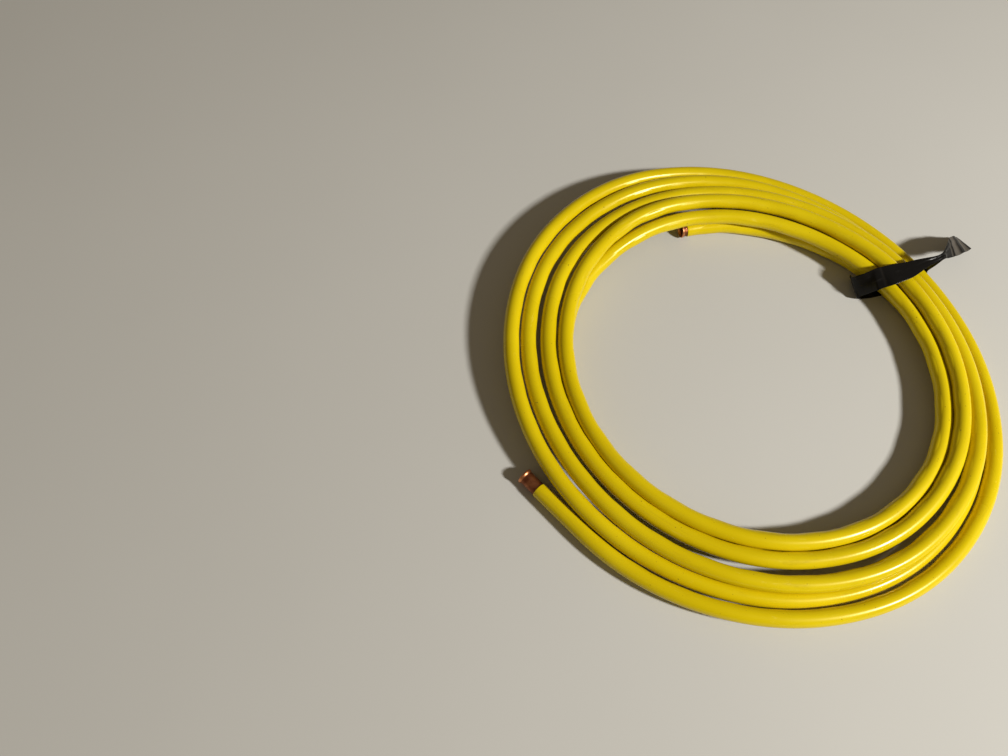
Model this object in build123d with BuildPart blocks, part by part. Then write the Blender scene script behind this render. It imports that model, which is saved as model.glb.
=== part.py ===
"""A loose coil of plastic-coated soft copper tube, tied with one strip of tape.

Millimetres, +Z up. The origin is on the floor at the middle of the coil's eye, and the coil lies
flat. Seen from above, +Y is twelve o'clock and +X is three o'clock, and the tube runs clockwise
from its inner end, near eleven o'clock, to its outer end, near eight.
"""
from build123d import *
from math import cos, pi, radians, sin, tan
import os

os.makedirs("parts", exist_ok=True)

# The tube: soft copper, half an inch across, in a coat of yellow plastic
tube_outside = 12.7
tube_wall = 0.8
flare_outside = 14.6
flare_length = 2.4
coating_wall = 0.6
coating_clearance = 0.05
inner_bare_length = 5.5
outer_bare_length = 18.0

# The coil: the circle of its eye, the gap between turns and the straight stretch at each end
eye_radius = 160.0
turn_clearance = 0.25
inner_tail = 47.0
outer_tail = 128.0
bend_share = 0.45
hours_on_clock = 12
first_hour = 11

# The tape: its own size, where it is tied, the turns it is drawn over and how loosely
tape_width = 19.0
tape_thickness = 0.2
tape_clearance = 0.3
tape_hour = 2
tape_bearing = 22.0
inner_turn = 1
top_turn = 2
outer_turn = 5
loop_slack = 14.0
loop_bend = 9.0
shoulder_rise = 6.0
shoulder_step = 8.0
underside_step = 6.0
underside_bend = 5.0
outer_step = 13.0
pinch_reach = 13.0
pinch_height = 39.5
pinch_bend = 1.0
tail_length = 56.0
tail_fall = 30.0
tail_overlap = 2.0
tail_plies = 2

tube_bore = tube_outside - 2 * tube_wall
coating_bore = tube_outside + 2 * coating_clearance
coated_outside = coating_bore + 2 * coating_wall
turn_pitch = coated_outside + turn_clearance
hour_angle = 360 / hours_on_clock

# Where each turn lies, one row a turn and one column an hour, from eleven o'clock clockwise.
# Lanes count tube widths outwards from the circle of the eye. Lifts count them up from the floor.
lanes = [
    [0.00, -0.25, 0.15, 0.95, 1.75, 2.05, 1.70, 0.90, 0.30, 0.35, 0.65, 0.60],
    [0.15, -0.20, -0.20, 0.40, 0.95, 1.25, 1.00, 0.60, 0.30, 0.30, 0.50, 0.85],
    [1.20, 0.90, 0.85, 1.20, 1.70, 2.10, 2.05, 1.60, 1.25, 1.30, 1.60, 2.05],
    [2.10, 1.90, 1.85, 2.10, 2.65, 3.30, 3.40, 2.95, 2.60, 2.50, 2.85, 3.30],
    [3.35, 3.05, 2.70, 2.60, 3.05, 3.70, 3.90, 3.65, 3.50, 3.65, 3.95, 4.35],
    [4.40, 4.00, 3.65, 3.60, 4.05, 4.75, 5.00, 4.75, 4.60, 4.42],
]
lifts = [
    [0.00, 0.00, 0.05, 0.05, 0.00, 0.00, 0.00, 0.00, 0.00, 0.00, 0.05, 0.25],
    [1.05, 1.15, 1.05, 0.90, 0.70, 0.60, 0.80, 1.00, 1.00, 1.00, 1.15, 1.40],
    [1.55, 1.45, 1.45, 1.50, 1.35, 1.15, 0.95, 0.75, 0.70, 0.90, 1.15, 1.30],
    [1.10, 1.10, 1.10, 1.10, 1.00, 0.95, 0.90, 0.85, 0.85, 0.95, 1.10, 1.20],
    [1.15, 0.90, 0.55, 0.20, 0.05, 0.00, 0.00, 0.05, 0.40, 0.85, 1.30, 1.45],
    [1.20, 0.55, 0.15, 0.05, 0.05, 0.15, 0.30, 0.35, 0.20, 0.05],
]


def turn_reach(lane):
    """How far from the middle of the eye a turn in this lane runs."""
    return eye_radius + turn_pitch * lane


def turn_height(lift):
    """How high above the floor the middle of a turn with this lift runs."""
    return coated_outside / 2 + turn_pitch * lift


def hour_direction(hour):
    """The level direction from the middle of the eye towards an hour of the clock."""
    angle = radians(90 - hour_angle * hour)
    return Vector(cos(angle), sin(angle))


def coil_corners():
    """The corners of the route, hour by hour: its bends are tangent arcs just inside them."""
    corners = []
    for lane_row, lift_row in zip(lanes, lifts):
        for lane, lift in zip(lane_row, lift_row):
            corner_reach = turn_reach(lane) / cos(radians(hour_angle / 2))
            corner = hour_direction(first_hour + len(corners)) * corner_reach
            corners.append(corner + Vector(0, 0, turn_height(lift)))
    return corners


def coil_route(inner_cut, outer_cut):
    """The corners with both straight ends cut to length, less what is cut off each."""
    corners = coil_corners()
    inner_way = (corners[0] - corners[1]).normalized()
    outer_way = (corners[-1] - corners[-2]).normalized()
    corners[0] = corners[1] + inner_way * (inner_tail - inner_cut)
    corners[-1] = corners[-2] + outer_way * (outer_tail - outer_cut)
    return corners


def bend_radii(corners):
    """The radius at each corner whose arc takes its share of the shorter run beside it."""
    runs = [(after - before).length for before, after in zip(corners, corners[1:])]
    runs[0] = inner_tail
    runs[-1] = outer_tail
    radii = []
    for index in range(1, len(corners) - 1):
        run_in = corners[index] - corners[index - 1]
        run_out = corners[index + 1] - corners[index]
        arc_reach = bend_share * min(runs[index - 1], runs[index])
        radii.append(arc_reach / tan(radians(run_in.get_angle(run_out) / 2)))
    return radii


def sweep_tube(name, inner_cut, outer_cut, outside, bore):
    """A round tube swept along the coil. It prints the volume beside section times length."""
    corners = coil_route(inner_cut, outer_cut)
    radii = bend_radii(corners)
    with BuildPart() as tube:
        with BuildLine() as line:
            FilletPolyline(*corners, radius=radii)
        path = line.wires()[0]
        with BuildSketch(Plane(origin=path @ 0, z_dir=path % 0)):
            Circle(outside / 2)
            Circle(bore / 2, mode=Mode.SUBTRACT)
        sweep(path=path)
    section = pi * (outside ** 2 - bore ** 2) / 4
    print(f"{name}: {path.length:.0f} mm long, bend radii {min(radii):.0f} to {max(radii):.0f} mm")
    print(f"{name}: volume {tube.part.volume:.0f}, section times length {section * path.length:.0f}")
    return tube.part, path


# The copper tube, flared at both of its cut ends
bare_tube, tube_path = sweep_tube("copper_tube", 0, 0, tube_outside, tube_bore)
mouths = [
    Plane(origin=tube_path @ 0, z_dir=-(tube_path % 0)),
    Plane(origin=tube_path @ 1, z_dir=tube_path % 1),
]
on_base = (Align.CENTER, Align.CENTER, Align.MIN)
with BuildPart() as copper_tube:
    add(bare_tube)
    for mouth in mouths:
        with Locations(mouth.offset(-flare_length)):
            Cone(tube_outside / 2, flare_outside / 2, flare_length, align=on_base)
            Cone(
                tube_bore / 2,
                flare_outside / 2 - tube_wall,
                flare_length,
                align=on_base,
                mode=Mode.SUBTRACT,
            )
copper_tube.part.label = "copper_tube"
export_step(copper_tube.part, "parts/copper_tube.step")

# The yellow coating, a sleeve that stops short of both ends of the tube
with BuildPart() as yellow_jacket:
    sleeve, sleeve_path = sweep_tube(
        "yellow_jacket", inner_bare_length, outer_bare_length, coated_outside, coating_bore
    )
    add(sleeve)
yellow_jacket.part.label = "yellow_jacket"
export_step(yellow_jacket.part, "parts/yellow_jacket.step")

# The tape's loop, in an upright plane over the outermost turn: it goes under the bundle, round
# its inner side with some slack and over its top, out to where the two ends meet above its edge
tape_column = (tape_hour - first_hour) % hours_on_clock
outer_reach = turn_reach(lanes[outer_turn][tape_column])
top_reach = turn_reach(lanes[top_turn][tape_column]) - outer_reach
top_height = turn_height(lifts[top_turn][tape_column]) + coated_outside / 2 + tape_clearance
inner_reach = turn_reach(lanes[inner_turn][tape_column]) - outer_reach
slack_reach = inner_reach - coated_outside / 2 - loop_slack
shoulder_height = turn_height(lifts[inner_turn][tape_column]) + shoulder_rise
underside = tape_thickness + tape_clearance / 2
loop_bends = [
    (outer_step, underside, loop_bend),
    (pinch_reach, pinch_height, pinch_bend),
    (top_reach + turn_pitch / 2, top_height, loop_bend),
    (top_reach - turn_pitch / 2, top_height, loop_bend),
    (slack_reach + shoulder_step, shoulder_height, loop_bend),
    (slack_reach, coated_outside, loop_bend),
    (slack_reach + underside_step, underside, underside_bend),
]
loop_corners = [(reach, height) for reach, height, bend in loop_bends]
loop_radii = [bend for reach, height, bend in loop_bends]
tail_root = (pinch_reach - tail_overlap, pinch_height)
tail_tip = (pinch_reach + tail_length, pinch_height - tail_fall)
tape_plane = Plane(
    origin=hour_direction(tape_hour) * outer_reach,
    x_dir=Vector(1, 0, 0).rotate(Axis.Z, tape_bearing),
    z_dir=Vector(0, -1, 0).rotate(Axis.Z, tape_bearing),
)

with BuildPart() as tape_tie:
    with BuildSketch(tape_plane):
        with BuildLine():
            FilletPolyline(*loop_corners, radius=loop_radii, close=True)
        make_face()
        offset(amount=-tape_thickness, mode=Mode.SUBTRACT)
    extrude(amount=tape_width / 2, both=True)
    with BuildSketch(tape_plane):
        with BuildLine():
            Line(tail_root, tail_tip)
        trace(line_width=tail_plies * tape_thickness)
    extrude(amount=tape_width / 2, both=True)
tape_tie.part.label = "tape_tie"
export_step(tape_tie.part, "parts/tape_tie.step")
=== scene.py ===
"""A loose coil of yellow plastic-coated copper tube, tied with black tape, on a pale floor.

Metres, in the frame of the solid model: +Z up, and the origin on the floor at the middle of
the coil's eye. Seen from above, +Y is twelve o'clock and +X is three o'clock, and the tube runs
clockwise from its inner end, near eleven o'clock, to its outer end, near eight.
"""

from math import atan2, cos, pi, radians, sin

import bpy
import numpy as np
from mathutils import Matrix, Vector, noise


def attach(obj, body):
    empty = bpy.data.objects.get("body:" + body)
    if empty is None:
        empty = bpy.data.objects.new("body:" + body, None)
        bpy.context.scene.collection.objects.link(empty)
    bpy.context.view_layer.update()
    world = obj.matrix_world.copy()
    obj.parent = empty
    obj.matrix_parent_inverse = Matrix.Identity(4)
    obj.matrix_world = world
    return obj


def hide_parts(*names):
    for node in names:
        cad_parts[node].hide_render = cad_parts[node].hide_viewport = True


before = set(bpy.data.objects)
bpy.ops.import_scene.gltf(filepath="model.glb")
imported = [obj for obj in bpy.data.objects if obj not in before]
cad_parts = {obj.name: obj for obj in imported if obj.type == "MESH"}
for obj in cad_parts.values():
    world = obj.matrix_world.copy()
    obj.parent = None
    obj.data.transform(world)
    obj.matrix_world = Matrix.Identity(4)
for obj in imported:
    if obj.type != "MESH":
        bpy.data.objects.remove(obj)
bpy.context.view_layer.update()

mm = 0.001

# The tube and its coating
tube_outside = 12.7 * mm
tube_wall = 0.8 * mm
coated_outside = 14.0 * mm
coating_bore = 12.8 * mm
inner_bare_length = 5.5 * mm
outer_bare_length = 18.0 * mm

# The coil: the circle of its eye, the pitch of its turns and the run at each end
eye_radius = 160.0 * mm
turn_pitch = 14.25 * mm
inner_tail = 47.0 * mm
outer_tail = 128.0 * mm
straight_share = 0.9
hour_angle = 30
first_hour = 11

# Where each turn lies, one row a turn and one column an hour, from eleven o'clock clockwise.
# Lanes count tube widths outwards from the circle of the eye. Lifts count them up from the floor.
# The second row, the inner strand in view on the right, is set to the photograph from two o'clock
# to five: there it lies a little higher and further in than in the solid model.
lanes = [
    [0.00, -0.25, 0.15, 0.95, 1.75, 2.05, 1.70, 0.90, 0.30, 0.35, 0.65, 0.60],
    [0.15, -0.20, -0.20, 0.39, 0.84, 1.17, 0.97, 0.60, 0.30, 0.30, 0.50, 0.85],
    [1.20, 0.90, 0.85, 1.20, 1.70, 2.10, 2.05, 1.60, 1.25, 1.30, 1.60, 2.05],
    [2.10, 1.90, 1.85, 2.10, 2.65, 3.30, 3.40, 2.95, 2.60, 2.50, 2.85, 3.30],
    [3.35, 3.05, 2.70, 2.60, 3.05, 3.70, 3.90, 3.65, 3.50, 3.65, 3.95, 4.35],
    [4.40, 4.00, 3.65, 3.60, 4.05, 4.75, 5.00, 4.75, 4.60, 4.42],
]
lifts = [
    [0.00, 0.00, 0.05, 0.05, 0.00, 0.00, 0.00, 0.00, 0.00, 0.00, 0.05, 0.25],
    [1.05, 1.15, 1.05, 0.91, 0.84, 0.76, 0.86, 1.00, 1.00, 1.00, 1.15, 1.40],
    [1.55, 1.45, 1.45, 1.50, 1.35, 1.15, 0.95, 0.75, 0.70, 0.90, 1.15, 1.30],
    [1.10, 1.10, 1.10, 1.10, 1.00, 0.95, 0.90, 0.85, 0.85, 0.95, 1.10, 1.20],
    [1.15, 0.90, 0.55, 0.20, 0.05, 0.00, 0.00, 0.05, 0.40, 0.85, 1.30, 1.45],
    [1.20, 0.55, 0.15, 0.05, 0.05, 0.15, 0.30, 0.35, 0.20, 0.05],
]

# The camera, worked out from the ovals of the turns in the photograph
image_width = 1008
focal_pixels = 815
sensor_width = 36.0
nearest_in_view = 10 * mm
camera_place = (-0.24818, -0.34901, 0.660)
camera_tilt = radians(27)
camera_roll = radians(5)


def unit(rows):
    """Rows of vectors, each divided by its length."""
    return rows / np.linalg.norm(rows, axis=-1, keepdims=True)


def route_points():
    """The corners of the coil's route, hour by hour, with its two ends cut to length."""
    corners = []
    for lane_row, lift_row in zip(lanes, lifts):
        for lane, lift in zip(lane_row, lift_row):
            angle = radians(90 - hour_angle * (first_hour + len(corners)))
            reach = (eye_radius + turn_pitch * lane) / cos(radians(hour_angle / 2))
            height = coated_outside / 2 + turn_pitch * lift
            corners.append(np.array([reach * cos(angle), reach * sin(angle), height]))
    inner_way = unit(corners[0] - corners[1])
    outer_way = unit(corners[-1] - corners[-2])
    inner_end = corners[1] + inner_way * inner_tail
    inner_run = corners[1] + inner_way * inner_tail * straight_share
    outer_end = corners[-2] + outer_way * outer_tail
    return [inner_end, inner_run, *corners[1:], outer_end]


def smooth_line(points, steps):
    """The points of a smooth NURBS line that has these points as its control points."""
    curve = bpy.data.curves.new("route", "CURVE")
    curve.dimensions = "3D"
    spline = curve.splines.new("NURBS")
    spline.points.add(len(points) - 1)
    for control, point in zip(spline.points, points):
        control.co = (*point, 1)
    spline.order_u = 3
    spline.use_endpoint_u = True
    spline.resolution_u = steps
    holder = bpy.data.objects.new("route", curve)
    mesh = bpy.data.meshes.new_from_object(holder)
    line = np.array([vertex.co for vertex in mesh.vertices])
    bpy.data.objects.remove(holder)
    bpy.data.curves.remove(curve)
    bpy.data.meshes.remove(mesh)
    return line


class Route:
    """A line that gives its place and its direction at any distance along it."""

    def __init__(self, points):
        """Measures the line through these points."""
        self.points = points
        steps = np.linalg.norm(np.diff(points, axis=0), axis=1)
        self.marks = np.concatenate([[0], np.cumsum(steps)])
        self.length = self.marks[-1]
        self.ways = unit(np.gradient(points, self.marks, axis=0))

    def at(self, distances):
        """Places along the line. Past either end it goes straight on."""
        inside = np.clip(distances, 0, self.length)
        places = np.stack([np.interp(inside, self.marks, p) for p in self.points.T], axis=-1)
        return places + self.along(distances) * (distances - inside)[..., None]

    def along(self, distances):
        """The unit directions of the line there."""
        inside = np.clip(distances, 0, self.length)
        return unit(np.stack([np.interp(inside, self.marks, w) for w in self.ways.T], axis=-1))


def skin(name, grid, uv, closed_around=True, closed_along=False):
    """A mesh of quads over a grid of places, with the grid's own UV map in metres."""
    rows, columns = grid.shape[:2]
    mesh = bpy.data.meshes.new(name)
    faces, corners = [], []
    for row in range(rows if closed_along else rows - 1):
        for column in range(columns if closed_around else columns - 1):
            beside, above = column + 1, row + 1
            around, along = beside % columns, above % rows
            faces.append(
                (
                    row * columns + column,
                    row * columns + around,
                    along * columns + around,
                    along * columns + column,
                )
            )
            corners += [(row, column), (row, beside), (above, beside), (above, column)]
    mesh.from_pydata(grid.reshape(-1, 3).tolist(), [], faces)
    rows_of, columns_of = np.array(corners).T
    layer = mesh.uv_layers.new(name="route")
    layer.data.foreach_set("uv", uv(rows_of, columns_of).astype(np.float32).ravel())
    mesh.polygons.foreach_set("use_smooth", [True] * len(mesh.polygons))
    mesh.update()
    piece = bpy.data.objects.new(name, mesh)
    bpy.context.scene.collection.objects.link(piece)
    return piece


def sleeve(name, route, distances, radii):
    """A tube along the route whose rings have these distances and radii, one row a ring."""
    segments = radii.shape[1]
    around = np.linspace(0, 2 * pi, segments, endpoint=False)
    places = route.at(distances)
    ways = route.along(distances)
    level = unit(np.cross(ways, np.array([0.0, 0.0, 1.0])))
    upward = np.cross(level, ways)
    outward = level * np.cos(around)[:, None] + upward * np.sin(around)[:, None]
    grid = places + outward * radii[..., None]
    run = np.concatenate([distances[:, 0], distances[:1, 0]])

    def uv(rows, columns):
        """Distance along the tube and distance round it, for each corner of each face."""
        return np.stack([run[rows], columns / segments * pi * coated_outside], axis=-1)

    return skin(name, grid, uv, closed_along=True)


def straight_wall(radius, start, end, step):
    """Rings of one radius from start to end, evenly spaced and about a step apart."""
    count = int(round(abs(end - start) / step)) + 1
    return [(distance, radius) for distance in np.linspace(start, end, count)]


def rings(profile, segments):
    """The distances and the radii of a profile's rings, one row a ring."""
    return [np.repeat(values[:, None], segments, axis=1) for values in np.array(profile).T]


def wander(distances, around, scale, seed):
    """Smooth noise from -1 to 1 over the tube's skin, without a seam round it."""
    values = [
        noise.noise(Vector((s * scale, cos(a) + seed, sin(a))))
        for s, a in zip(distances.ravel(), np.broadcast_to(around, distances.shape).ravel())
    ]
    return np.array(values).reshape(distances.shape)


route_steps = 24
route = Route(smooth_line(route_points(), route_steps))

# The yellow coating: an outer wall with faint dents, two ragged cut ends, and its bore
jacket_start = inner_bare_length
jacket_end = route.length - outer_bare_length
jacket_segments = 40
ring_step = 6.0 * mm
ring_margin = 0.5 * mm
bore_step = 40.0 * mm
bore_margin = 2.0 * mm
bore_edge = 0.10 * mm
dent_depth = 0.03 * mm
start_fade = 4 * mm
end_fade = 8 * mm

# A cut edge's rounding: how far each ring lies from the cut and below the outside, in millimetres
edge_rounding = [(0.00, 0.30), (0.05, 0.16), (0.18, 0.03)]


def rounded_edge(cut, inwards):
    """The rings that round a cut edge, from the cut inwards, which is 1 or -1 along the tube."""
    return [
        (cut + inwards * distance * mm, coated_outside / 2 - depth * mm)
        for distance, depth in edge_rounding
    ]


jacket_profile = (
    rounded_edge(jacket_start, 1)
    + straight_wall(
        coated_outside / 2, jacket_start + ring_margin, jacket_end - ring_margin, ring_step
    )
    + rounded_edge(jacket_end, -1)[::-1]
    + [(jacket_end - bore_edge, coating_bore / 2)]
    + straight_wall(
        coating_bore / 2, jacket_end - bore_margin, jacket_start + bore_margin, bore_step
    )
    + [(jacket_start + bore_edge, coating_bore / 2)]
)
jacket_distances, jacket_radii = rings(jacket_profile, jacket_segments)
jacket_around = np.linspace(0, 2 * pi, jacket_segments, endpoint=False)

outer_wall = jacket_radii > (coated_outside + coating_bore) / 4
long_dents = wander(jacket_distances, jacket_around, scale=30, seed=3)
short_dents = wander(jacket_distances, jacket_around, scale=90, seed=8)
dents = np.abs(dent_depth * (long_dents + short_dents))
jacket_radii = np.where(outer_wall, jacket_radii - dents, jacket_radii)


def cut_line(slant, bearing, raggedness):
    """How far along the tube a cut edge stands off, round it: a slant and a ragged edge."""
    ragged = wander(jacket_around * 0, jacket_around, scale=1, seed=21)
    return slant * np.cos(jacket_around - bearing) + raggedness * ragged


near_start = np.clip(1 - (jacket_distances - jacket_start) / start_fade, 0, 1)
near_end = np.clip(1 - (jacket_end - jacket_distances) / end_fade, 0, 1)
jacket_distances = (
    jacket_distances
    + near_end * cut_line(slant=0.9 * mm, bearing=2.2, raggedness=0.3 * mm)
    + near_start * cut_line(slant=0.4 * mm, bearing=-0.8, raggedness=0.2 * mm)
)
yellow_jacket = sleeve("yellow_coating", route, jacket_distances, jacket_radii)

# The copper tube: flared at both mouths, with a rounded lip
tube_segments = 32
tube_margin = 36 * mm
tube_step = 12 * mm
tube_bore_margin = 60 * mm
tube_bore_step = 24 * mm

# The rings of either end: how far each lies from the mouth, and its radius, in millimetres
lip = [
    (0.20, 7.20),
    (0.60, 7.32),
    (1.20, 7.28),
    (1.80, 7.05),
    (2.40, 6.60),
    (2.90, 6.40),
    (4.20, 6.35),
    (7.00, 6.35),
    (12.0, 6.35),
    (18.0, 6.35),
    (24.0, 6.35),
]
mouth = [
    (0.02, 6.95),
    (0.05, 6.60),
    (0.50, 6.30),
    (1.40, 5.85),
    (2.40, 5.60),
    (4.50, 5.55),
    (9.00, 5.55),
    (24.0, 5.55),
]


def at_start(end_rings):
    """These rings at the tube's inner end, from its mouth inwards."""
    return [(distance * mm, radius * mm) for distance, radius in end_rings]


def at_end(end_rings):
    """These rings at the tube's outer end, from its mouth inwards."""
    return [(route.length - distance * mm, radius * mm) for distance, radius in end_rings]


tube_profile = (
    at_start(lip)
    + straight_wall(tube_outside / 2, tube_margin, route.length - tube_margin, tube_step)
    + at_end(lip)[::-1]
    + at_end(mouth)
    + straight_wall(
        tube_outside / 2 - tube_wall,
        route.length - tube_bore_margin,
        tube_bore_margin,
        tube_bore_step,
    )
    + at_start(mouth)[::-1]
)
copper_tube = sleeve("copper_tube_piece", route, *rings(tube_profile, tube_segments))

# The tape: rows of its two edges, from the tail's end over the top of the turns, down the inner
# side, under the bundle, up the outer side and back along the tail, in millimetres, with how
# deep it is pleated there
tape_width = 19.0 * mm
tape_thickness = 0.2 * mm
tape_rows = [
    ((238.2, 153.3, 5.0), (243.9, 134.3, 12.0), 0.10),
    ((231.6, 149.0, 12.0), (234.3, 127.2, 17.5), 0.15),
    ((223.6, 143.8, 19.0), (224.0, 119.9, 23.0), 0.20),
    ((214.9, 136.3, 25.7), (213.0, 112.8, 28.5), 0.30),
    ((204.9, 121.9, 33.5), (202.3, 106.4, 34.5), 0.30),
    ((194.4, 108.4, 40.0), (195.1, 102.4, 38.5), 0.70),
    ((187.0, 104.4, 40.0), (188.1, 98.4, 38.8), 0.50),
    ((176.5, 102.1, 39.4), (178.2, 93.2, 38.6), 0.28),
    ((167.4, 100.3, 38.6), (168.6, 86.4, 38.2), 0.12),
    ((156.1, 97.6, 37.6), (159.3, 80.3, 37.6), 0.05),
    ((146.4, 95.8, 36.9), (149.7, 76.4, 37.0), 0.00),
    ((137.4, 93.7, 36.6), (141.5, 73.2, 35.8), 0.00),
    ((130.4, 92.2, 35.6), (134.7, 72.7, 31.6), 0.00),
    ((126.3, 91.2, 34.0), (129.7, 72.0, 28.0), 0.00),
    ((122.8, 90.6, 31.4), (127.2, 73.2, 23.0), 0.00),
    ((117.3, 89.7, 27.0), (124.2, 75.0, 15.6), 0.00),
    ((112.3, 90.5, 21.6), (121.2, 76.5, 9.8), 0.00),
    ((111.2, 94.2, 16.6), (119.0, 77.2, 6.6), 0.00),
    ((116.4, 101.2, 9.4), (122.6, 78.4, 2.4), 0.00),
    ((122.6, 101.6, 2.2), (129.0, 79.8, 0.6), 0.00),
    ((134.0, 99.0, 0.3), (140.0, 82.0, 0.3), 0.00),
    ((160.0, 108.0, 0.3), (167.0, 90.4, 0.3), 0.00),
    ((181.5, 116.0, 0.3), (188.5, 100.6, 0.3), 0.00),
    ((185.6, 117.0, 2.6), (193.0, 103.0, 2.6), 0.10),
    ((187.5, 116.1, 8.5), (193.9, 104.5, 8.5), 0.30),
    ((187.1, 113.7, 15.0), (191.5, 104.3, 15.0), 0.60),
    ((188.6, 109.8, 28.0), (191.8, 101.6, 28.0), 0.90),
    ((194.5, 108.1, 39.5), (195.2, 102.1, 38.0), 0.70),
    ((205.0, 121.6, 33.0), (202.4, 106.1, 34.0), 0.30),
    ((215.0, 136.0, 25.2), (213.1, 112.5, 28.1), 0.30),
    ((223.7, 143.5, 18.6), (224.1, 119.6, 22.6), 0.20),
    ((231.7, 148.7, 11.6), (234.4, 126.9, 17.1), 0.15),
    ((238.3, 153.0, 4.5), (244.0, 134.0, 11.6), 0.10),
]
tape_steps = 16
tape_columns = 33
pinch_row = 5

# The pleats that gather the tape at its pinch: how many cross it, and how unevenly
pleat_count = 2.5
pleat_phase = 0.8
pleat_unevenness = 0.4
uneven_turn = 5.0
uneven_phase = 1.0

# The creases that run from edge to edge: the row that each lies on, how far it stands out of the
# tape in millimetres, and how pale it is painted. They fan out over the tail, where the pale ridges
# are dust together with painted highlight on the faces turned to the light.
tape_creases = [
    # Rows 0 to 3.4 are the tail's fan: its ridges are painted pale, dust with painted highlight,
    # and its valleys are left black
    (0.00, -0.40, 0.00),
    (0.20, -0.30, 0.00),
    (0.32, 0.20, 0.60),
    (0.75, 0.80, 1.00),
    (1.15, 0.10, 0.80),
    (1.35, -0.80, 0.02),
    (1.80, -0.80, 0.02),
    (2.00, 0.30, 0.60),
    (2.25, 0.80, 0.90),
    (2.75, 0.30, 0.65),
    (2.92, -0.60, 0.02),
    (3.08, -0.40, 0.05),
    (3.22, 0.40, 0.70),
    (3.40, -0.30, 0.03),
    (4.30, 0.15, 0.03),
    (5.00, 0.00, 0.00),
    (11.30, 0.00, 0.00),
    # A painted glint: a pale streak painted across the tape where it begins to turn down the inner
    # side
    (11.70, 0.25, 0.00),
    (11.80, 0.40, 0.16),
    (11.90, 0.25, 0.00),
    (12.05, -0.15, 0.00),
    (12.90, -0.35, 0.00),
    (13.40, 0.00, 0.00),
]
near_edge_share = 0.4

# The faint dimples of the film, which fade out where the tape lies on the floor
dimple_depth = 0.15 * mm
dimple_fade = 6 * mm
dimple_spacing = 8 * mm
dimples_along = 90
dimples_across = 1.8
dimple_seed = 5


def through(values, steps):
    """A smooth Catmull-Rom line through these values, with this many steps between each two."""
    before = 2 * values[:1] - values[1:2]
    after = 2 * values[-1:] - values[-2:-1]
    ends = np.concatenate([before, values, after])
    out = []
    for first, second, third, fourth in zip(ends, ends[1:], ends[2:], ends[3:]):
        for step in range(steps):
            t = step / steps
            bend = 2 * first - 5 * second + 4 * third - fourth
            twist = 3 * second - first - 3 * third + fourth
            out.append(second + t / 2 * (third - first + t * (bend + t * twist)))
    out.append(values[-1])
    return np.array(out)


edge_a = through(np.array([row[0] for row in tape_rows]) * mm, tape_steps)
edge_b = through(np.array([row[1] for row in tape_rows]) * mm, tape_steps)
pleat_depth = through(np.array([[row[2]] for row in tape_rows]) * mm, tape_steps)
tape_line = Route((edge_a + edge_b) / 2)
facing = unit(np.cross(unit(edge_b - edge_a), tape_line.ways))[:, None]
columns = np.linspace(0, 1, tape_columns)
flat_tape = edge_a[:, None] + (edge_b - edge_a)[:, None] * columns[None, :, None]

# Each place counts its rows from the nearer end, so that the tail's two plies fold alike
rows_along = np.arange(len(edge_a)) / tape_steps
on_upper_ply = rows_along < len(tape_rows) / 2
rows_in = np.where(on_upper_ply, rows_along, len(tape_rows) - 1 - rows_along)
ply_side = np.where(on_upper_ply, 1, -1)[:, None]

pleat_waves = np.sin(2 * pi * pleat_count * columns + pleat_phase)
pleat_swell = np.sin(uneven_turn * columns + uneven_phase)
pleat_sizes = 1 - pleat_unevenness + pleat_unevenness * pleat_swell
crease_rows, crease_heights, crease_dust_and_highlight = np.array(tape_creases).T
creases = np.interp(rows_in, crease_rows, crease_heights * mm)
creases = np.where(on_upper_ply | (rows_in < pinch_row), creases, 0)[:, None]
crease_sizes = near_edge_share + (1 - near_edge_share) * columns
folds = pleat_depth * pleat_waves * pleat_sizes + creases * crease_sizes
folded_tape = flat_tape + facing * (ply_side * folds)[..., None]

dimples = np.array(
    [
        [noise.noise(Vector((s * dimples_along, c * dimples_across, dimple_seed))) for c in columns]
        for s in rows_in * dimple_spacing
    ]
)
dimples = dimples * dimple_depth * np.clip(folded_tape[..., 2] / dimple_fade, 0, 1)
dimpled_tape = folded_tape + facing * (ply_side * dimples)[..., None]


def tape_uv(rows, columns):
    """Distance along the tape and distance across it."""
    return np.stack([tape_line.marks[rows], columns / (tape_columns - 1) * tape_width], axis=-1)


black_tape = skin("black_tape", dimpled_tape, tape_uv, closed_around=False)
thicken = black_tape.modifiers.new("thickness", "SOLIDIFY")
thicken.thickness = tape_thickness
thicken.offset = 0


def new_material(name):
    """An empty node material, its tree and its main shader."""
    material = bpy.data.materials.new(name)
    material.use_nodes = True
    return material, material.node_tree, material.node_tree.nodes["Principled BSDF"]


def link(tree, source, target):
    """Joins one socket to another."""
    tree.links.new(source, target)


def coordinates(tree, kind, scale=(1, 1, 1)):
    """Texture coordinates of this kind, scaled along each axis."""
    place = tree.nodes.new("ShaderNodeTexCoord")
    mapping = tree.nodes.new("ShaderNodeMapping")
    mapping.inputs["Scale"].default_value = scale
    link(tree, place.outputs[kind], mapping.inputs["Vector"])
    return mapping.outputs["Vector"]


def noise_at(tree, vector, scale, detail, roughness=0.5, distortion=0.0):
    """A noise texture's value at these coordinates."""
    texture = tree.nodes.new("ShaderNodeTexNoise")
    texture.inputs["Scale"].default_value = scale
    texture.inputs["Detail"].default_value = detail
    texture.inputs["Roughness"].default_value = roughness
    texture.inputs["Distortion"].default_value = distortion
    link(tree, vector, texture.inputs["Vector"])
    return texture.outputs["Fac"]


def streaks(tree, along, across, detail, roughness=0.5, distortion=0.0):
    """Noise over the piece's own skin, this fine along it and across it, in marks a metre."""
    vector = coordinates(tree, "UV", (along, across, 1))
    return noise_at(tree, vector, 1, detail, roughness, distortion)


def distance_along(tree):
    """The distance along the piece, from its own UV map."""
    parts = tree.nodes.new("ShaderNodeSeparateXYZ")
    link(tree, coordinates(tree, "UV"), parts.inputs[0])
    return parts.outputs["X"]


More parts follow.
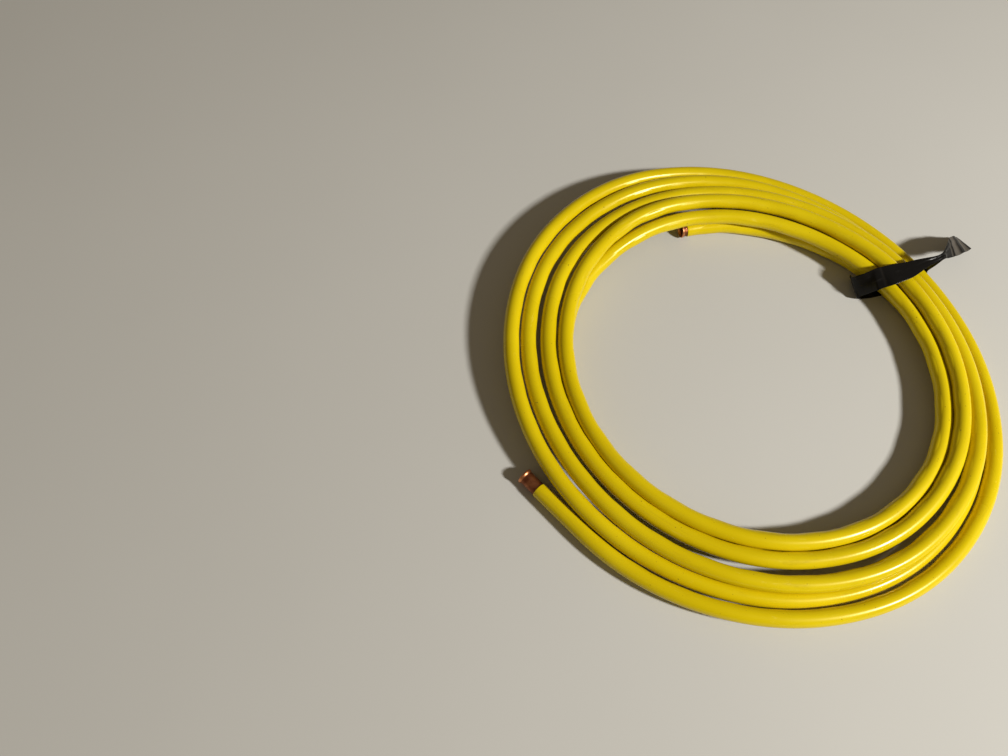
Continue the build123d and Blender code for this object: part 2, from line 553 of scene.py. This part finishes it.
def ramp(tree, value, low, high, low_out=0.0, high_out=1.0):
    """A value that goes from low_out to high_out as another goes from low to high."""
    node = tree.nodes.new("ShaderNodeMapRange")
    node.interpolation_type = "SMOOTHSTEP"
    node.inputs["From Min"].default_value = low
    node.inputs["From Max"].default_value = high
    node.inputs["To Min"].default_value = low_out
    node.inputs["To Max"].default_value = high_out
    link(tree, value, node.inputs["Value"])
    return node.outputs["Result"]


def mixed(tree, factor, first, second):
    """A colour between two, each given as a colour or a socket."""
    node = tree.nodes.new("ShaderNodeMix")
    node.data_type = "RGBA"
    link(tree, factor, node.inputs["Factor"])
    for socket, colour in ((node.inputs[6], first), (node.inputs[7], second)):
        if isinstance(colour, tuple):
            socket.default_value = (*colour, 1)
        else:
            link(tree, colour, socket)
    return node.outputs[2]


def colour_stops(tree, value, stops):
    """A grey that changes with a value in straight steps between these (place, grey) stops."""
    node = tree.nodes.new("ShaderNodeValToRGB")
    link(tree, value, node.inputs["Fac"])
    elements = node.color_ramp.elements
    while len(elements) < len(stops):
        elements.new(0.5)
    for element, (place, grey) in zip(elements, stops):
        element.position = place
        element.color = (grey, grey, grey, 1)
    return node.outputs["Color"]


def math_node(tree, operation, first, second):
    """The result of one sum on two values, each given as a number or a socket."""
    node = tree.nodes.new("ShaderNodeMath")
    node.operation = operation
    for socket, value in zip(node.inputs, (first, second)):
        if isinstance(value, (int, float)):
            socket.default_value = value
        else:
            link(tree, value, socket)
    return node.outputs[0]


def plus(tree, first, second):
    """The sum of two values."""
    return math_node(tree, "ADD", first, second)


def times(tree, first, second):
    """The product of two values."""
    return math_node(tree, "MULTIPLY", first, second)


def bump(tree, shader, height, distance):
    """Raises the surface by a height texture, in metres."""
    node = tree.nodes.new("ShaderNodeBump")
    node.inputs["Strength"].default_value = 1.0
    node.inputs["Distance"].default_value = distance
    link(tree, height, node.inputs["Height"])
    link(tree, node.outputs["Normal"], shader.inputs["Normal"])


def coating_material():
    """Yellow extruded plastic: soft gloss, faint lengthwise lines, scuffs, dirt and specks."""
    deep_yellow = (0.66, 0.500, 0.002)
    light_yellow = (0.74, 0.575, 0.004)
    scuff_colour = (0.84, 0.68, 0.10)
    dirt_colour = (0.30, 0.19, 0.012)
    speck_colour = (0.20, 0.12, 0.01)
    scuff_strength = 0.30
    scuff_roughness = 0.18
    smudge_strength = 0.15
    grit_strength = 0.35
    speck_strength = 0.65
    relief_height = 0.00006

    material, tree, shader = new_material("yellow coating plastic")
    body = coordinates(tree, "Object")
    patches = noise_at(tree, body, 9, 3, 0.6)
    lines = streaks(tree, along=12, across=420, detail=2)
    scuffs = streaks(tree, along=55, across=260, detail=5, roughness=0.7, distortion=0.6)
    scuffs = ramp(tree, scuffs, 0.60, 0.74)
    smudges = streaks(tree, along=16, across=110, detail=5, roughness=0.65, distortion=0.8)
    smudges = ramp(tree, smudges, 0.50, 0.80)
    grit = streaks(tree, along=240, across=520, detail=4, roughness=0.7)
    grit = ramp(tree, grit, 0.45, 0.75)
    specks = ramp(tree, noise_at(tree, body, 420, 1, 0.4), 0.76, 0.80)
    dirt = plus(tree, times(tree, grit, grit_strength), smudge_strength)
    dirt = times(tree, smudges, dirt)

    colour = mixed(tree, ramp(tree, patches, 0.35, 0.70), deep_yellow, light_yellow)
    colour = mixed(tree, times(tree, scuffs, scuff_strength), colour, scuff_colour)
    colour = mixed(tree, dirt, colour, dirt_colour)
    colour = mixed(tree, times(tree, specks, speck_strength), colour, speck_colour)
    link(tree, colour, shader.inputs["Base Color"])
    gloss = ramp(tree, patches, 0.3, 0.7, 0.21, 0.30)
    roughness = plus(tree, gloss, times(tree, scuffs, scuff_roughness))
    link(tree, roughness, shader.inputs["Roughness"])
    shader.inputs["IOR"].default_value = 1.5
    shader.inputs["Specular Tint"].default_value = (1.0, 0.93, 0.45, 1)
    shader.inputs["Subsurface Weight"].default_value = 0.02
    shader.inputs["Subsurface Radius"].default_value = (0.0012, 0.0007, 0.0002)
    grain = times(tree, noise_at(tree, body, 700, 2), 0.5)
    bump(tree, shader, plus(tree, lines, grain), relief_height)
    return material


def copper_material():
    """Drawn copper: brown with age, with a painted highlight on the lip of each flare and painted
    shade at its root, and fine lengthwise scratches.
    """
    bright_copper = (0.72, 0.30, 0.13)
    brown_copper = (0.20, 0.065, 0.030)
    scratch_colour = (0.80, 0.42, 0.24)
    relief_height = 0.00008
    # How brown it is, from either end inwards: (share of the end band's length, brownness). Tarnish
    # browns the body and the copper next to the coating. The pale lip at the mouth is a painted
    # highlight, and the dark band just behind it, at the flare's root, is painted shade.
    end_band_length = 24 * mm
    brownness_and_lip_light = [
        (0.00, 0.15),
        (0.06, 0.05),
        (0.10, 0.35),
        (0.13, 0.95),
        (0.24, 0.90),
        (0.34, 0.60),
        (0.75, 1.00),
    ]

    material, tree, shader = new_material("soft copper")
    from_inner = distance_along(tree)
    from_outer = math_node(tree, "SUBTRACT", route.length, from_inner)
    from_end = math_node(tree, "MINIMUM", from_inner, from_outer)
    # Real tarnish from each end inwards, with a painted highlight on the flare's lip and painted
    # shade at its root
    aged_and_lip_light = colour_stops(tree, math_node(tree, "DIVIDE", from_end, end_band_length), brownness_and_lip_light)
    patches = noise_at(tree, coordinates(tree, "Object"), 130, 4, 0.65, 0.5)
    tarnish_and_lip_light = plus(tree, aged_and_lip_light, ramp(tree, patches, 0.35, 0.70, -0.15, 0.25))
    scratches = streaks(tree, along=30, across=900, detail=3, roughness=0.6)

    colour = mixed(tree, tarnish_and_lip_light, bright_copper, brown_copper)
    colour = mixed(tree, ramp(tree, scratches, 0.55, 0.80, 0, 0.30), colour, scratch_colour)
    link(tree, colour, shader.inputs["Base Color"])
    shader.inputs["Metallic"].default_value = 1.0
    link(tree, ramp(tree, tarnish_and_lip_light, 0, 1, 0.36, 0.50), shader.inputs["Roughness"])
    bump(tree, shader, scratches, relief_height)
    return material


def tape_material():
    """Black vinyl tape: soft gloss, fine crosswise wrinkles and a dusty tail whose crease ridges
    are painted pale, dust and painted highlight together, with one painted glint across the top.
    """
    black = (0.0075, 0.0072, 0.0070)
    worn_black = (0.022, 0.021, 0.021)
    dust_and_highlight_colour = (0.16, 0.142, 0.12)
    relief_height = 0.00010

    material, tree, shader = new_material("black vinyl tape")
    share_along = math_node(tree, "DIVIDE", distance_along(tree), tape_line.length)
    crease_shares = np.interp(crease_rows, rows_along, tape_line.marks) / tape_line.length
    # Paleness by row: dust and painted highlight on the tail's ridges, and a painted glint across
    # the top
    dust_and_highlight_stops = colour_stops(tree, share_along, list(zip(crease_shares, crease_dust_and_highlight)))
    grain = streaks(tree, along=260, across=40, detail=3, roughness=0.6, distortion=0.4)
    dust_and_highlight = times(tree, dust_and_highlight_stops, ramp(tree, grain, 0.30, 0.80, 0.7, 1.0))
    wear = streaks(tree, along=60, across=300, detail=4, roughness=0.6)

    colour = mixed(tree, ramp(tree, wear, 0.55, 0.85), black, worn_black)
    link(tree, mixed(tree, dust_and_highlight, colour, dust_and_highlight_colour), shader.inputs["Base Color"])
    link(tree, ramp(tree, dust_and_highlight, 0, 1, 0.27, 0.60), shader.inputs["Roughness"])
    past_tail = ramp(tree, share_along, 0.16, 0.20, 0.04, 0.16)
    link(tree, past_tail, shader.inputs["Specular IOR Level"])
    lines = streaks(tree, along=60, across=300, detail=3)
    wrinkles = streaks(tree, along=260, across=40, detail=2)
    bump(tree, shader, plus(tree, lines, wrinkles), relief_height)
    return material


pieces = {
    yellow_jacket: ("yellow_jacket", "coating", coating_material()),
    copper_tube: ("copper_tube", "copper", copper_material()),
    black_tape: ("tape_tie", "tape", tape_material()),
}
for piece, (node, slot, material) in pieces.items():
    piece.data.materials.append(material)
    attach(piece, "root")
    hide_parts(node)


def pale_floor():
    """A plain pale floor under the coil, wide enough for any view."""
    reach = 12.0
    darker, lighter = (0.55, 0.548, 0.525), (0.59, 0.588, 0.565)
    mesh = bpy.data.meshes.new("floor")
    corners = [(-reach, -reach, 0), (reach, -reach, 0), (reach, reach, 0), (-reach, reach, 0)]
    mesh.from_pydata(corners, [], [(0, 1, 2, 3)])
    floor = bpy.data.objects.new("floor", mesh)
    bpy.context.scene.collection.objects.link(floor)
    material, tree, shader = new_material("pale floor")
    patches = noise_at(tree, coordinates(tree, "Object"), 3, 3)
    link(tree, mixed(tree, patches, darker, lighter), shader.inputs["Base Color"])
    shader.inputs["Roughness"].default_value = 0.9
    mesh.materials.append(material)


def area_lamp(name, place, size, power, colour):
    """A square soft lamp that faces the coil."""
    lamp = bpy.data.lights.new(name, "AREA")
    lamp.shape = "SQUARE"
    lamp.size = size
    lamp.energy = power
    lamp.color = colour
    holder = bpy.data.objects.new(name, lamp)
    holder.location = place
    holder.rotation_euler = (-Vector(place)).to_track_quat("-Z", "Y").to_euler()
    bpy.context.scene.collection.objects.link(holder)


def soft_surround(colour, strength):
    """The even light of the room round the coil."""
    world = bpy.data.worlds.new("studio")
    world.use_nodes = True
    background = world.node_tree.nodes["Background"]
    background.inputs["Color"].default_value = (*colour, 1)
    background.inputs["Strength"].default_value = strength
    bpy.context.scene.world = world


def photograph_camera():
    """The camera at the photograph's place: turned, tilted off the vertical, and rolled."""
    lens = bpy.data.cameras.new("camera")
    lens.sensor_width = sensor_width
    lens.lens = focal_pixels / image_width * sensor_width
    lens.clip_start = nearest_in_view
    camera = bpy.data.objects.new("camera", lens)
    camera_turn = -atan2(sin(camera_roll) * cos(camera_tilt), cos(camera_roll))
    camera.matrix_world = (
        Matrix.Translation(camera_place)
        @ Matrix.Rotation(camera_turn, 4, "Z")
        @ Matrix.Rotation(camera_tilt, 4, "X")
        @ Matrix.Rotation(camera_roll, 4, "Z")
    )
    bpy.context.scene.collection.objects.link(camera)
    bpy.context.scene.camera = camera


pale_floor()
area_lamp("key", (1.75, -1.01, 1.70), size=0.26, power=84, colour=(1.0, 0.97, 0.91))
area_lamp("fill", (-1.4, -1.2, 1.9), size=1.8, power=1.5, colour=(1.0, 0.90, 0.75))
soft_surround(colour=(1.0, 0.80, 0.54), strength=0.14)
photograph_camera()
bpy.context.scene.view_settings.view_transform = "Standard"

bpy.context.view_layer.update()
